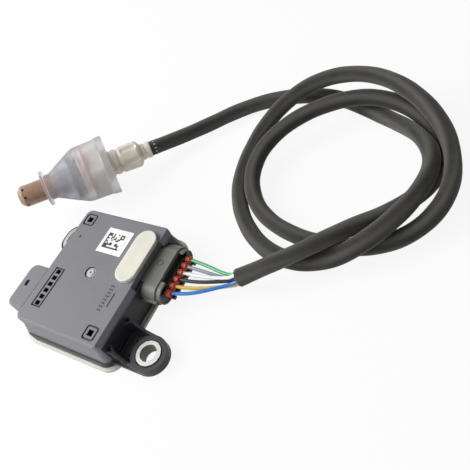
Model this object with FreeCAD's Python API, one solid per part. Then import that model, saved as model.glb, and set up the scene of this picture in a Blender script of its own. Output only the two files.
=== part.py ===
import FreeCAD, Part
import math
import os

# Exhaust-gas sensor: control module lying on its base plate, six-wire lead in a sleeve, and probe in its cap.
# Frame: +Z up, +X towards the plug, +Y along the module's long side. The origin is the middle of the
# underside of the base plate. Millimetres.

Vec = FreeCAD.Vector
os.makedirs("parts", exist_ok=True)

# Module outline
cover_half_x = 22.4
cover_half_y = 28.4
cover_top = 16.0
cover_corner = 3.0
slab_thick = 1.6
slab_edge = 3.7
shoulder_reach = 1.9
shoulder_start = 0.4
shoulder_drop = 1.8
shoulder_low = 2.8
skirt_flare = (1.6, 1.4)
skirt_inset = 0.2
skirt_thick = 1.6
skirt_bottom = 5.3
base_half_x = cover_half_x + 2.4
base_half_y = cover_half_y + 2.1
base_corner = 6.0
base_top = 4.9
plate_half_x = base_half_x + 2.0
plate_half_y = base_half_y + 1.2
plate_thick = 1.3
plate_corner = 7.0
tub_gap = 0.2
tub_wall = 1.5
floor_top = plate_thick + 1.6
seal_thick = 0.6
fit_gap = 0.1

# Slab details
slot_x = (-18.2, -13.0)
slot_y = (-21.2, -2.3)
slot_line = 0.6
slot_depth = 0.6
window_count = 6
window_x = 2.3
window_y = 1.9
window_depth = 3.0
peg_x = 17.6
peg_y = 23.3
peg_size = 2.5
peg_drop = 2.4
groove_half = 3.0
groove_width = 0.6
groove_depth = 0.6
groove_corner = 1.2
gate_radius = 2.6
gate_depth = 0.5
nub_radius = 1.9
tick_x = 14.6
tick_y = (-13.9, -3.0)
tick_count = 8
tick_length = 1.6
tick_width = 0.5
tick_height = 0.2
stroke_x = 17.4
stroke_y = (-11.6, -5.5)
stroke_width = 0.3
dart = [(-17.4, 13.6), (-16.0, 14.3), (-17.4, 15.0)]
dart_depth = 0.3

# Cap and label on the slab
cap_radius = 5.1
cap_x = cover_half_x - cap_radius
cap_y = (cover_half_y - 23.7, cover_half_y - 9.1)
cap_thick = 1.7
cap_round = 0.5
label_size = (13.6, 12.2)
label_thick = 0.15
label_gap = 3.2
label_centre = (cap_x - cap_radius - label_gap - label_size[0] / 2, cover_half_y - 12.5)

# Vehicle connector on the -X side
shroud_x = -cover_half_x - 8.9
shroud_y = (-24.4, -3.8)
shroud_bottom = 5.8
shroud_wall = 1.5
shroud_corner = 3.4
shroud_back = -cover_half_x - 0.1
vehicle_pin_z = 9.0
vehicle_pitch = 2.54
vehicle_pin_x = (shroud_x + 2.5, -13.2)
lock_hole = (shroud_x + 3.7, -13.0)
lock_size = (1.8, 2.6)
pin_size = 0.8
carrier_x = (shroud_back, -12.6)
carrier_bottom = 7.2

# Plug and its socket on the +X side
plug_z = 7.8
plug_width = 26.4
plug_y = cover_half_y - 3.2 - plug_width / 2
plug_height = 10.0
plug_wall = 1.4
plug_bore_width = plug_width - 2 * plug_wall
plug_bore_height = plug_height - 2 * plug_wall
plug_front = 14.5
plug_nose_end = 20.5
plug_collar = 31.0
plug_rear = 33.2
nose_step = 0.7
mouth_y = (plug_y - 5.6, plug_y + 8.4)
plateau_inset = 4.2
plateau_height = 0.25
ring_mark = (26.6, 1.5, 1.1)
socket_clearance = 0.3
socket_width = plug_width + 2 * socket_clearance
socket_height = plug_height + 2 * socket_clearance
socket_bottom_x = 12.0
socket_wall = 1.0
wire_count = 6
wire_shift = 0.7
wire_pitch = (plug_bore_width - 3.8) / wire_count
wire_radius = 0.75
holder_front = 15.5
holder_step = 30.6
holder_rear = 33.0
seal_radius = 0.47 * wire_pitch
seal_rib = 0.5
seal_front = 31.0
seal_rear = 35.2
lock_rear = 34.7
tab_rear = 36.3
tab_width = 1.5
terminal_size = 1.9
terminal_x = (16.5, seal_front - fit_gap)
terminal_depth = 8.0
wire_start = terminal_x[1] - 0.9
wire_bend_x = wire_start + (seal_rear - wire_start) / 0.55
ring_seal_x = (17.2, 19.4)

# Ears
ear_radius = 7.7
ear_z = (1.0, 5.3)
bush_height = 5.6
bush_radius = 5.2
bush_hole = 3.5
bush_gap = 0.5
round_ear = (base_half_x + 13.4, 10.5 - base_half_y)
slot_ear = (-base_half_x - 5.9, base_half_y - 13.3)
slot_travel = 2.4
slot_ear_rim = 1.0
arm_y = (2.8 - base_half_y, 19.2 - base_half_y)
arm_floor = 3.0
gusset_y = (4.0 - base_half_y, 19.8 - base_half_y)
gusset_top = 10.3
gusset_reach = base_half_x + 2.4
gusset_root = 3.9
gusset_wall = 0.65
rib_thick = 1.1
stiffener_x = base_half_x + 3.8
stiffener_y = (6.1 - base_half_y, 15.1 - base_half_y)

# Circuit board
board_x = (5.4 - cover_half_x, socket_bottom_x - 1.6)
board_y = (6.4 - cover_half_y, cover_half_y - 6.4)
board_z = 4.2
board_thick = 1.6
processor_size = (8.0, 8.0, 1.4)
processor_inset = (8.0, 10.0)
regulator_size = (6.0, 6.0, 2.2)
regulator_inset = (15.0, 8.0)
can_radius = 3.1
can_height = 6.5
can_inset = (9.0, 12.0)

# Lead
sleeve_radius = 3.45
sleeve_lead = 24.5
bundle_radius = 2.2
bundle_lead = 7.5

# Probe, along its axis from the cap's small flange; the cap's lip stands on the table
probe_place = (-50.15, 31.60)
probe_heading = 51.21
probe_tilt = -11.01
tube_radius = 5.0
tube_wall = 0.5
tube_nose = -12.9
tube_holes = -9.8
tube_hole_radius = 0.6
tube_hole_count = 8
tube_end = 7.0
inner_gap = 0.7
inner_radius = tube_radius - tube_wall - inner_gap
inner_wall = 0.4
inner_nose = -10.6
bore_radius = 4.6
thread_radius = 10.0
thread_pitch = 1.5
thread_depth = 0.8
thread_s = (12.5, 20.4)
gasket_s = (20.4, 21.9)
gasket_radius = 11.6
hex_s = (21.9, 28.9)
hex_flats = 22.0
collar_s = 31.0
barrel_s = 36.1
neck_s = 47.1
sleeve_s = 51.8
body_radius = 7.6
barrel_radius = 6.35
flute_count = 6
flute_radius = 2.6
flute_depth = 0.75
ferrule_radius = 3.95
element_s = (-8.0, 29.4)
element_half = (2.1, 0.7)
cap_wall = 0.8
cap_flange = (8.3, 0.6)
cap_neck = (6.0, 3.2)
cap_shoulder = (13.25, 17.7)
cap_skirt = (13.5, 27.8)
cap_lip = (14.1, 31.3)


def box(x0, x1, y0, y1, z0, z1):
    return Part.makeBox(x1 - x0, y1 - y0, z1 - z0, Vec(x0, y0, z0))


def post(x, y, z0, z1, radius):
    return Part.makeCylinder(radius, z1 - z0, Vec(x, y, z0))


def rod(x0, x1, y, z, radius):
    """Round bar along X."""
    return Part.makeCylinder(radius, x1 - x0, Vec(x0, y, z), Vec(1, 0, 0))


def square_rod(x0, x1, y, z, side):
    return box(x0, x1, y - side / 2, y + side / 2, z - side / 2, z + side / 2)


def rounded_wire(x0, x1, y0, y1, r, z):
    """Closed outline of a rectangle with four round corners."""
    k = r * (1 - math.sqrt(0.5))
    edges = []
    corners = [
        (Vec(x1 - r, y0, z), Vec(x1 - k, y0 + k, z), Vec(x1, y0 + r, z)),
        (Vec(x1, y1 - r, z), Vec(x1 - k, y1 - k, z), Vec(x1 - r, y1, z)),
        (Vec(x0 + r, y1, z), Vec(x0 + k, y1 - k, z), Vec(x0, y1 - r, z)),
        (Vec(x0, y0 + r, z), Vec(x0 + k, y0 + k, z), Vec(x0 + r, y0, z)),
    ]
    for i, (start, middle, end) in enumerate(corners):
        before = corners[i - 1][2]
        if before.distanceToPoint(start) > 1e-6:
            edges.append(Part.makeLine(before, start))
        edges.append(Part.Arc(start, middle, end).toShape())
    return Part.Wire(edges)


def rounded_block(x0, x1, y0, y1, r, z0, z1):
    return Part.Face(rounded_wire(x0, x1, y0, y1, r, z0)).extrude(Vec(0, 0, z1 - z0))


def centred_block(half_x, half_y, r, z0, z1):
    return rounded_block(-half_x, half_x, -half_y, half_y, r, z0, z1)


def rounded_square(x, y, half, r, z0, z1):
    return rounded_block(x - half, x + half, y - half, y + half, r, z0, z1)


def top_edges(shape, z):
    return [e for e in shape.Edges if min(v.Z for v in e.Vertexes) > z - 0.01]


def stadium(width, height, x0, x1):
    """Bar along X with a flat-sided round-ended section, centred on the plug's axis."""
    r = height / 2
    half = width / 2 - r
    middle = box(x0, x1, plug_y - half, plug_y + half, plug_z - r, plug_z + r)
    ends = [rod(x0, x1, plug_y + s * half, plug_z, r) for s in (-1, 1)]
    return middle.fuse(ends).removeSplitter()


def flat_stadium(x, y0, y1, r, z0, z1):
    """Upright bar with a round-ended outline that is long in Y."""
    return rounded_block(x - r, x + r, y0 - r, y1 + r, r - 0.001, z0, z1)


def prism(points, z0, z1):
    corners = [Vec(x, y, z0) for x, y in points]
    return Part.Face(Part.makePolygon(corners + corners[:1])).extrude(Vec(0, 0, z1 - z0))


def profile_x(points, y0, y1):
    """Extrusion along Y of a closed X-Z outline."""
    corners = [Vec(x, y0, z) for x, z in points]
    return Part.Face(Part.makePolygon(corners + corners[:1])).extrude(Vec(0, y1 - y0, 0))


def turned(points):
    """Solid of revolution about the probe axis from (station, radius) points."""
    corners = [Vec(r, 0, s) for s, r in points]
    return Part.Face(Part.makePolygon(corners + corners[:1])).revolve(Vec(0, 0, 0), Vec(0, 0, 1), 360)


def disc(radius, s0, s1):
    """Round bar about the probe axis."""
    return Part.makeCylinder(radius, s1 - s0, Vec(0, 0, s0))


def tube(points, radius, name):
    """Round cord through straight runs joined by tangent arcs."""
    runs = [b - a for a, b in zip(points, points[1:])]
    edges = []
    radii = []
    at = points[0]
    for i in range(1, len(points) - 1):
        back = -runs[i - 1]
        ahead = Vec(runs[i])
        turn = math.pi - back.getAngle(ahead)
        reach = 0.45 * min(back.Length, ahead.Length)
        bend = reach / math.tan(turn / 2)
        radii.append(bend)
        back = Vec(back).normalize()
        ahead = ahead.normalize()
        start = points[i] + back * reach
        end = points[i] + ahead * reach
        inward = (back + ahead).normalize()
        middle = points[i] + inward * (bend / math.cos(turn / 2) - bend)
        edges.append(Part.makeLine(at, start))
        edges.append(Part.Arc(start, middle, end).toShape())
        at = end
    edges.append(Part.makeLine(at, points[-1]))
    path = Part.Wire(edges)
    section = Part.Wire(Part.makeCircle(radius, points[0], runs[0]))
    solid = path.makePipeShell([section], True, False)
    drift = solid.Volume / (math.pi * radius**2 * path.Length) - 1
    print(name, "length %.1f" % path.Length, "smallest radius %.1f" % min(radii), "volume drift %.4f" % drift)
    print("  radii", " ".join("%.0f" % r for r in radii))
    return solid


# Probe frame: the lip of the cap touches the table
tilt = math.radians(probe_tilt)
heading = math.radians(probe_heading)
probe_height = cap_lip[0] * math.cos(tilt) - cap_lip[1] * math.sin(tilt)
probe_from = Vec(probe_place[0], probe_place[1], probe_height)
probe_axis = Vec(math.cos(tilt) * math.cos(heading), math.cos(tilt) * math.sin(heading), math.sin(tilt))


def probe_placed(shape):
    lean = FreeCAD.Rotation(Vec(0, 1, 0), 90 - probe_tilt)
    turn = FreeCAD.Rotation(Vec(0, 0, 1), probe_heading)
    shape.Placement = FreeCAD.Placement(probe_from, turn.multiply(lean))
    return shape


def probe_point(s):
    return probe_from + probe_axis * s


def spoke(i, count, phase):
    """Direction of one of several even spokes round the probe axis."""
    angle = i * 2 * math.pi / count + phase
    return Vec(math.cos(angle), math.sin(angle), 0)


nodes = {}

# Base plate, scalloped around the slotted bush
slot_low = slot_ear[1] - slot_travel / 2
slot_high = slot_ear[1] + slot_travel / 2
scallop = bush_radius + 2 * bush_gap
notch = flat_stadium(slot_ear[0], slot_low - bush_gap, slot_high + bush_gap, scallop, -1, plate_thick + 1)
base_plate = centred_block(plate_half_x, plate_half_y, plate_corner, 0, plate_thick)
nodes["base_plate"] = base_plate.cut(notch)

# Tub of the housing, with the sloping wall on the plug side
wall_top = cover_top - slab_thick - seal_thick
tub_half_x = cover_half_x - skirt_thick - tub_gap
tub_half_y = cover_half_y - skirt_thick - tub_gap
shoulder_x = cover_half_x + shoulder_reach
side_top = cover_top - shoulder_low
low_band = centred_block(base_half_x, base_half_y, base_corner, plate_thick, base_top)
tub = centred_block(tub_half_x, tub_half_y, cover_corner, plate_thick, wall_top)
side_profile = [
    (tub_half_x - tub_wall, plate_thick),
    (base_half_x, plate_thick),
    (base_half_x - fit_gap, base_top),
    (shoulder_x - fit_gap, side_top - fit_gap),
    (tub_half_x - tub_wall, side_top - fit_gap),
]
side = profile_x(side_profile, -tub_half_y, tub_half_y)
housing = low_band.fuse([tub, side])
hollow = centred_block(
    tub_half_x - tub_wall, tub_half_y - tub_wall, cover_corner - 1, floor_top, wall_top + 1
)
housing = housing.cut(hollow)

# Socket block that takes the plug
socket_block = box(
    socket_bottom_x - socket_wall * 1.5,
    tub_half_x,
    plug_y - socket_width / 2 - socket_wall,
    plug_y + socket_width / 2 + socket_wall,
    plate_thick,
    wall_top,
)
housing = housing.fuse(socket_block)
housing = housing.cut(stadium(socket_width, socket_height, socket_bottom_x, base_half_x + 1))
open_half = (socket_width - socket_height) / 2
housing = housing.cut(
    box(tub_half_x + tub_gap, base_half_x + 1, plug_y - open_half, plug_y + open_half, plug_z, cover_top)
)

# Pegs under the cover's corner holes
pegs = []
for sign in (-1, 1):
    peg_side = peg_size - 2 * fit_gap
    x = sign * peg_x
    y = -sign * peg_y
    half = peg_side / 2
    pegs.append(box(x - half, x + half, y - half, y + half, floor_top - fit_gap, cover_top - peg_drop))
housing = housing.fuse(pegs)

# Round ear with its arm
arm_low = ear_z[0] + 0.6
arm_root = tub_half_x + 2 * tub_gap
ear_inner_x = round_ear[0] - 1
ear = post(round_ear[0], round_ear[1], arm_low, ear_z[1], ear_radius)
arm = prism(
    [
        (arm_root, arm_y[0]),
        (ear_inner_x, round_ear[1] - ear_radius),
        (ear_inner_x, round_ear[1] + ear_radius),
        (arm_root, arm_y[1]),
    ],
    arm_low,
    arm_floor,
)
housing = housing.fuse([ear, arm])

# Ribs along the arm, each starting from a hollow three-sided gusset at the wall
gusset_start = base_half_x - 0.9
rim_end = gusset_top - 0.6
fall = profile_x(
    [
        (arm_root, arm_low),
        (round_ear[0], arm_low),
        (round_ear[0], ear_z[1]),
        (round_ear[0] - ear_radius + 1.5, ear_z[1]),
        (gusset_reach, rim_end),
        (gusset_start, gusset_top),
        (arm_root, gusset_top),
    ],
    -base_half_y - 5,
    base_half_y,
)
for sign, edge in ((1, gusset_y[1]), (-1, gusset_y[0])):
    inward = -sign
    tip = edge + inward * 0.4
    tangent = round_ear[1] + sign * (ear_radius - fit_gap)
    rib = prism(
        [
            (gusset_reach - rib_thick, tip),
            (round_ear[0], tangent),
            (round_ear[0], tangent + inward * rib_thick),
            (gusset_reach - rib_thick, tip + inward * rib_thick),
        ],
        arm_low,
        gusset_top,
    )
    wedge = prism(
        [
            (gusset_start, edge),
            (gusset_reach, tip),
            (gusset_reach - 0.2, tip + inward * rib_thick),
            (gusset_start, edge + inward * gusset_root),
        ],
        arm_low,
        gusset_top,
    )
    pocket = prism(
        [
            (gusset_start, edge + inward * gusset_wall),
            (gusset_reach - 2 * gusset_wall, tip + inward * gusset_wall),
            (gusset_start, edge + inward * (gusset_root - 1.5 * gusset_wall)),
        ],
        arm_floor + 1.5,
        gusset_top + 1,
    )
    housing = housing.fuse(rib.fuse(wedge).common(fall).cut(pocket))

# Low U-shaped stiffener on the arm
bar_low = arm_floor - fit_gap
bar_high = arm_floor + 1.1
bar_thick = 0.8
leg_end = stiffener_x + 3.0
stiffener = [
    box(stiffener_x, stiffener_x + bar_thick, stiffener_y[0], stiffener_y[1], bar_low, bar_high),
    box(stiffener_x, leg_end, stiffener_y[0], stiffener_y[0] + bar_thick, bar_low, bar_high),
    box(stiffener_x, leg_end, stiffener_y[1] - bar_thick, stiffener_y[1], bar_low, bar_high),
]
housing = housing.fuse(stiffener)

# Slotted ear on the other side
slot_lug_radius = bush_radius + slot_ear_rim
lug = flat_stadium(slot_ear[0], slot_low, slot_high, slot_lug_radius, plate_thick, ear_z[1])
lug_arm = box(
    slot_ear[0], -tub_half_x, slot_low - slot_lug_radius, slot_high + slot_lug_radius, plate_thick, base_top
)
housing = housing.fuse([lug, lug_arm])
slot_bore = flat_stadium(slot_ear[0], slot_low, slot_high, bush_radius, 0, ear_z[1] + 1)
relief_low = ear_z[1] - 0.8
relief = bush_radius + bush_gap
bush_relief = flat_stadium(slot_ear[0], slot_low, slot_high, relief, relief_low, cover_top)
housing = housing.cut(slot_bore.fuse(bush_relief))
housing = housing.cut(post(round_ear[0], round_ear[1], 0, cover_top, bush_radius))
housing = housing.cut(post(round_ear[0], round_ear[1], relief_low, cover_top, relief))

# Compression limiters
bush_round = post(round_ear[0], round_ear[1], 0, bush_height, bush_radius)
nodes["bush_round"] = bush_round.cut(post(round_ear[0], round_ear[1], -1, bush_height + 1, bush_hole))
bush_slot = flat_stadium(slot_ear[0], slot_low, slot_high, bush_radius, 0, bush_height)
nodes["bush_slot"] = bush_slot.cut(
    flat_stadium(slot_ear[0], slot_low, slot_high, bush_hole, -1, bush_height + 1)
)

# Cover: slab with a sloped shoulder on the plug side
slab_low = cover_top - slab_edge
slab_y = (-cover_half_y, cover_half_y)
slab = rounded_block(-cover_half_x, shoulder_x, slab_y[0], slab_y[1], cover_corner, slab_low, cover_top)
slab = slab.makeFillet(0.9, top_edges(slab, cover_top))
slope_run = shoulder_reach - shoulder_start
slope_high = 0.5
slope_x = cover_half_x + shoulder_start - slope_high * slope_run / shoulder_drop
slope_end = slope_x + (slope_high + slab_edge) * slope_run / shoulder_drop
shoulder = profile_x(
    [
        (slope_x, cover_top + slope_high),
        (slope_end + 1, cover_top + slope_high),
        (slope_end + 1, slab_low),
        (slope_end, slab_low),
    ],
    -cover_half_y - 1,
    cover_half_y + 1,
)
slab = slab.cut(shoulder)

# Flared skirt and shroud of the vehicle connector
inside_half_x = cover_half_x - skirt_thick
inside_half_y = cover_half_y - skirt_thick
inside = centred_block(inside_half_x, inside_half_y, cover_corner - 1, 0, cover_top - slab_thick)
inside = inside.fuse(box(0, inside_half_x, -inside_half_y, inside_half_y, 0, cover_top - slab_thick))
skirt_y = cover_half_y - skirt_inset
skirt_high = rounded_wire(
    skirt_inset - cover_half_x, shoulder_x - skirt_inset, -skirt_y, skirt_y, cover_corner, slab_low
)
skirt_low = rounded_wire(
    skirt_inset - cover_half_x - skirt_flare[0],
    base_half_x - fit_gap,
    -skirt_y - skirt_flare[1],
    skirt_y + skirt_flare[1],
    cover_corner,
    skirt_bottom,
)
skirt = Part.makeLoft([skirt_low, skirt_high], True, True)
shroud = rounded_block(shroud_x, -10, shroud_y[0], shroud_y[1], shroud_corner, shroud_bottom, cover_top)
shroud = shroud.makeFillet(0.7, top_edges(shroud, cover_top))
shroud = shroud.common(box(shroud_x - 1, 0.5 - cover_half_x, -cover_half_y, 0, 0, cover_top))
cover = slab.fuse([skirt, shroud]).cut(inside)
cover = cover.cut(
    box(
        shroud_x - 1,
        shroud_back,
        shroud_y[0] + shroud_wall,
        shroud_y[1] - shroud_wall,
        shroud_bottom + shroud_wall,
        cover_top - shroud_wall,
    )
)
carrier_y = (shroud_y[0] + shroud_wall + 0.8, shroud_y[1] - shroud_wall - 0.2)
carrier_room = box(
    shroud_back - 1,
    carrier_x[1],
    carrier_y[0] - fit_gap,
    carrier_y[1] + fit_gap,
    carrier_bottom - fit_gap,
    wall_top,
)
cover = cover.cut(carrier_room)
housing = housing.cut(carrier_room)

# The cover stops above the housing's sloping wall and leaves room for the plug
cover = cover.cut(box(inside_half_x, base_half_x + 9, -inside_half_y, inside_half_y, 0, side_top))
cover = cover.cut(
    box(
        cover_half_x + 0.25,
        base_half_x + 9,
        plug_y - plug_width / 2,
        plug_y + open_half + 1,
        0,
        cover_top + 1,
    )
)

# Slab slots, corner holes, gate mark and raised marks
slot_floor = cover_top - slot_depth
cover = cover.cut(box(slot_x[0], slot_x[1], slot_y[0], slot_y[1], slot_floor, cover_top + 1))
frame = box(
    slot_x[0] + slot_line,
    slot_x[1] - slot_line,
    slot_y[0] + slot_line,
    slot_y[1] - slot_line,
    slot_floor,
    cover_top,
)
cover = cover.fuse(frame)
slot_middle = (slot_y[0] + slot_y[1]) / 2
window_pitch = (slot_y[1] - slot_y[0] - slot_line) / window_count
window_mid_x = (slot_x[0] + slot_x[1]) / 2
for i in range(window_count):
    y = slot_middle + (i - (window_count - 1) / 2) * window_pitch
    window = box(
        window_mid_x - window_x / 2,
        window_mid_x + window_x / 2,
        y - window_y / 2,
        y + window_y / 2,
        cover_top - window_depth,
        cover_top + 1,
    )
    cover = cover.cut(window)
for sign in (-1, 1):
    x = sign * peg_x
    y = -sign * peg_y
    outer = rounded_square(x, y, groove_half, groove_corner, cover_top - groove_depth, cover_top + 1)
    inner = rounded_square(x, y, groove_half - groove_width, groove_corner - 0.4, 0, cover_top + 1)
    cover = cover.cut(outer.cut(inner))
    half = peg_size / 2
    cover = cover.cut(box(x - half, x + half, y - half, y + half, skirt_bottom, cover_top + 1))
gate = post(0, 0, cover_top - gate_depth, cover_top + 1, gate_radius)
nub = Part.makeCone(nub_radius, nub_radius - 0.4, gate_depth * 0.7, Vec(0, 0, cover_top - gate_depth))
cover = cover.cut(gate).fuse(nub)
lock_x, lock_y = lock_hole
cover = cover.cut(
    box(
        lock_x - lock_size[0] / 2,
        lock_x + lock_size[0] / 2,
        lock_y - lock_size[1] / 2,
        lock_y + lock_size[1] / 2,
        cover_top - window_depth,
        cover_top + 1,
    )
)
mark_low = cover_top - fit_gap
mark_high = cover_top + tick_height
tick_pitch = (tick_y[1] - tick_y[0]) / (tick_count - 1)
half = stroke_width / 2
marks = [box(stroke_x - half, stroke_x + half, stroke_y[0], stroke_y[1], mark_low, mark_high)]
for i in range(tick_count):
    y = tick_y[0] + i * tick_pitch
    marks.append(
        box(
            tick_x - tick_length / 2,
            tick_x + tick_length / 2,
            y - tick_width / 2,
            y + tick_width / 2,
            mark_low,
            mark_high,
        )
    )
cover = cover.fuse(marks)
nodes["cover"] = cover.cut(prism(dart, cover_top - dart_depth, cover_top + 1))

# Ring between tub and cover
ring = centred_block(tub_half_x, tub_half_y, cover_corner, wall_top, wall_top + seal_thick)
ring_hole = centred_block(tub_half_x - tub_wall, tub_half_y - tub_wall, cover_corner - 1, 0, cover_top)
nodes["cover_seal"] = ring.cut(ring_hole)

# Cap over the plug socket, and the label
socket_cap = flat_stadium(cap_x, cap_y[0], cap_y[1], cap_radius, cover_top, cover_top + cap_thick)
nodes["socket_cap"] = socket_cap.makeFillet(cap_round, top_edges(socket_cap, cover_top + cap_thick))
nodes["label"] = box(
    label_centre[0] - label_size[0] / 2,
    label_centre[0] + label_size[0] / 2,
    label_centre[1] - label_size[1] / 2,
    label_centre[1] + label_size[1] / 2,
    cover_top,
    cover_top + label_thick,
)

# Circuit board on four posts of the tub
board_top = board_z + board_thick
board = box(board_x[0], board_x[1], board_y[0], board_y[1], board_z, board_top)
posts = []
for x in (board_x[0] + 1.5, board_x[1] - 4.5):
    for y in (board_y[0] + 1.5, board_y[1] - 1.5):
        posts.append(post(x, y, floor_top - fit_gap, board_z, 1.2))
housing = housing.fuse(posts)


def chip(x, y, size):
    """Flat block on the board, with one corner at x and y."""
    return box(x, x + size[0], y, y + size[1], board_top, board_top + size[2])


processor_x = board_x[0] + processor_inset[0]
processor_y = board_y[0] + processor_inset[1]
nodes["board_processor"] = chip(processor_x, processor_y, processor_size)
can_x = board_x[0] + can_inset[0]
can_y = board_y[1] - can_inset[1]
nodes["board_capacitor"] = post(can_x, can_y, board_top, board_top + can_height, can_radius)
regulator_x = board_x[0] + regulator_inset[0]
regulator_y = board_y[1] - regulator_inset[1] - regulator_size[1]
nodes["board_regulator"] = chip(regulator_x, regulator_y, regulator_size)

# Pins of the vehicle connector in their carrier
carrier = box(carrier_x[0], carrier_x[1], carrier_y[0], carrier_y[1], carrier_bottom, wall_top - fit_gap)
shroud_middle = (shroud_y[0] + shroud_y[1]) / 2
pin_foot = board_z - pin_size
for i in range(wire_count):
    y = shroud_middle + (i - (wire_count - 1) / 2) * vehicle_pitch
    x0, x1 = vehicle_pin_x
    leg = box(x1 - pin_size, x1, y - pin_size / 2, y + pin_size / 2, pin_foot, vehicle_pin_z)
    pin = square_rod(x0, x1, y, vehicle_pin_z, pin_size).fuse(leg).removeSplitter()
    nodes["vehicle_pin_%d" % (i + 1)] = pin
    carrier = carrier.cut(pin)
    board = board.cut(pin)
nodes["pin_carrier"] = carrier

# Wire positions across the plug, from the +Y end
wire_rows = [plug_y + wire_shift + ((wire_count - 1) / 2 - i) * wire_pitch for i in range(wire_count)]

# Pins of the plug socket, held in the socket block
socket_pin_x = (socket_bottom_x - 3.8, terminal_x[0] + 6.0)
for i, y in enumerate(wire_rows):
    x0, x1 = socket_pin_x
    leg = box(x0, x0 + pin_size, y - pin_size / 2, y + pin_size / 2, pin_foot, plug_z)
    pin = square_rod(x0, x1, y, plug_z, pin_size).fuse(leg).removeSplitter()
    nodes["socket_pin_%d" % (i + 1)] = pin
    housing = housing.cut(pin)
    board = board.cut(pin)
nodes["circuit_board"] = board
nodes["housing"] = housing.removeSplitter()

# Plug shell: stepped nose, long body with a raised top, rear collar open at the top
shell_top = plug_z + plug_height / 2
body = stadium(plug_width, plug_height, plug_nose_end, plug_collar)
nose = stadium(plug_width - 2 * nose_step, plug_height - 2 * nose_step, plug_front, plug_nose_end)
collar = stadium(plug_width - plug_wall, plug_height - 1.0, plug_collar, plug_rear)
key_y = plug_y - plug_width / 2
key = box(base_half_x, plug_collar + 1.0, key_y - 0.7, key_y + 0.6, plug_z + 0.2, plug_z + 1.2)
plateau_low = plug_y - plug_width / 2 + plug_height
plateau_high = plug_y + plug_width / 2 - plateau_inset
plateau = box(
    base_half_x - 0.6, plug_collar, plateau_low, plateau_high, shell_top - fit_gap, shell_top + plateau_height
)
shell = body.fuse([nose, collar, key, plateau])
shell = shell.cut(stadium(plug_bore_width, plug_bore_height, plug_front - 1, plug_rear + 1))
shell = shell.cut(box(plug_collar, plug_rear + 1, mouth_y[0], mouth_y[1], plug_z + 1, shell_top + 1))
mark_x, mark_outer, mark_inner = ring_mark
mark_y = plateau_low + 5
mark = post(mark_x, mark_y, shell_top, cover_top, mark_outer)
nodes["plug_shell"] = shell.cut(mark.cut(post(mark_x, mark_y, 0, cover_top, mark_inner)))

# Rubber ring on the plug's nose
seal_x0, seal_x1 = ring_seal_x
ring_outer = stadium(socket_width - 2 * fit_gap, socket_height - 2 * fit_gap, seal_x0, seal_x1)
ring_inner = stadium(plug_width - 2 * nose_step, plug_height - 2 * nose_step, seal_x0 - 1, seal_x1 + 1)
nodes["plug_seal"] = ring_outer.cut(ring_inner)

# Inner body of the plug, lower behind its step so that the wire seals show from above
holder_width = plug_bore_width - 2 * fit_gap
holder_height = plug_bore_height - 2 * fit_gap
holder = stadium(holder_width, holder_height, holder_front, holder_rear)
step_top = plug_z + seal_radius + 0.25
holder = holder.cut(box(holder_step, holder_rear + 1, -cover_half_y, cover_half_y, step_top, cover_top))

# Black bar under the seals with one tab below each wire
bar_y = (wire_rows[-1] - tab_width / 2, wire_rows[0] - tab_width / 2 + fit_gap)
bar_low = plug_z - plug_bore_height / 2 + 0.5
tab_high = plug_z - seal_radius - 0.15
lock = box(holder_rear, lock_rear, bar_y[0], bar_y[1], bar_low, tab_high)
for y in wire_rows:
    lock = lock.fuse(
        box(holder_rear, tab_rear, y - tab_width / 2, y + tab_width / 2, bar_low + 0.2, tab_high)
    )
nodes["plug_lock"] = lock.removeSplitter()

# Six wire seals with three ribs each, and the terminals in front of them
for i, y in enumerate(wire_rows):
    cell = square_rod(holder_front - 1, seal_front, y, plug_z, terminal_size + 2 * fit_gap)
    holder = holder.cut(rod(seal_front, holder_rear + 1, y, plug_z, seal_radius).fuse(cell))
    seal = rod(seal_front, seal_rear, y, plug_z, seal_radius - 0.2)
    for rib_x in (seal_front + 0.3, holder_rear + 0.3, seal_rear - seal_rib - 0.2):
        seal = seal.fuse(rod(rib_x, rib_x + seal_rib, y, plug_z, seal_radius))
    nodes["wire_seal_%d" % (i + 1)] = seal.cut(rod(seal_front - 1, seal_rear + 1, y, plug_z, wire_radius))
    terminal = square_rod(terminal_x[0], terminal_x[1], y, plug_z, terminal_size)
    mouth = square_rod(terminal_x[0] - 1, terminal_x[0] + terminal_depth, y, plug_z, pin_size)
    crimp = rod(wire_start, seal_rear, y, plug_z, wire_radius)
    nodes["terminal_%d" % (i + 1)] = terminal.cut(mouth.fuse(crimp))
nodes["plug_holder"] = holder

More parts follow.
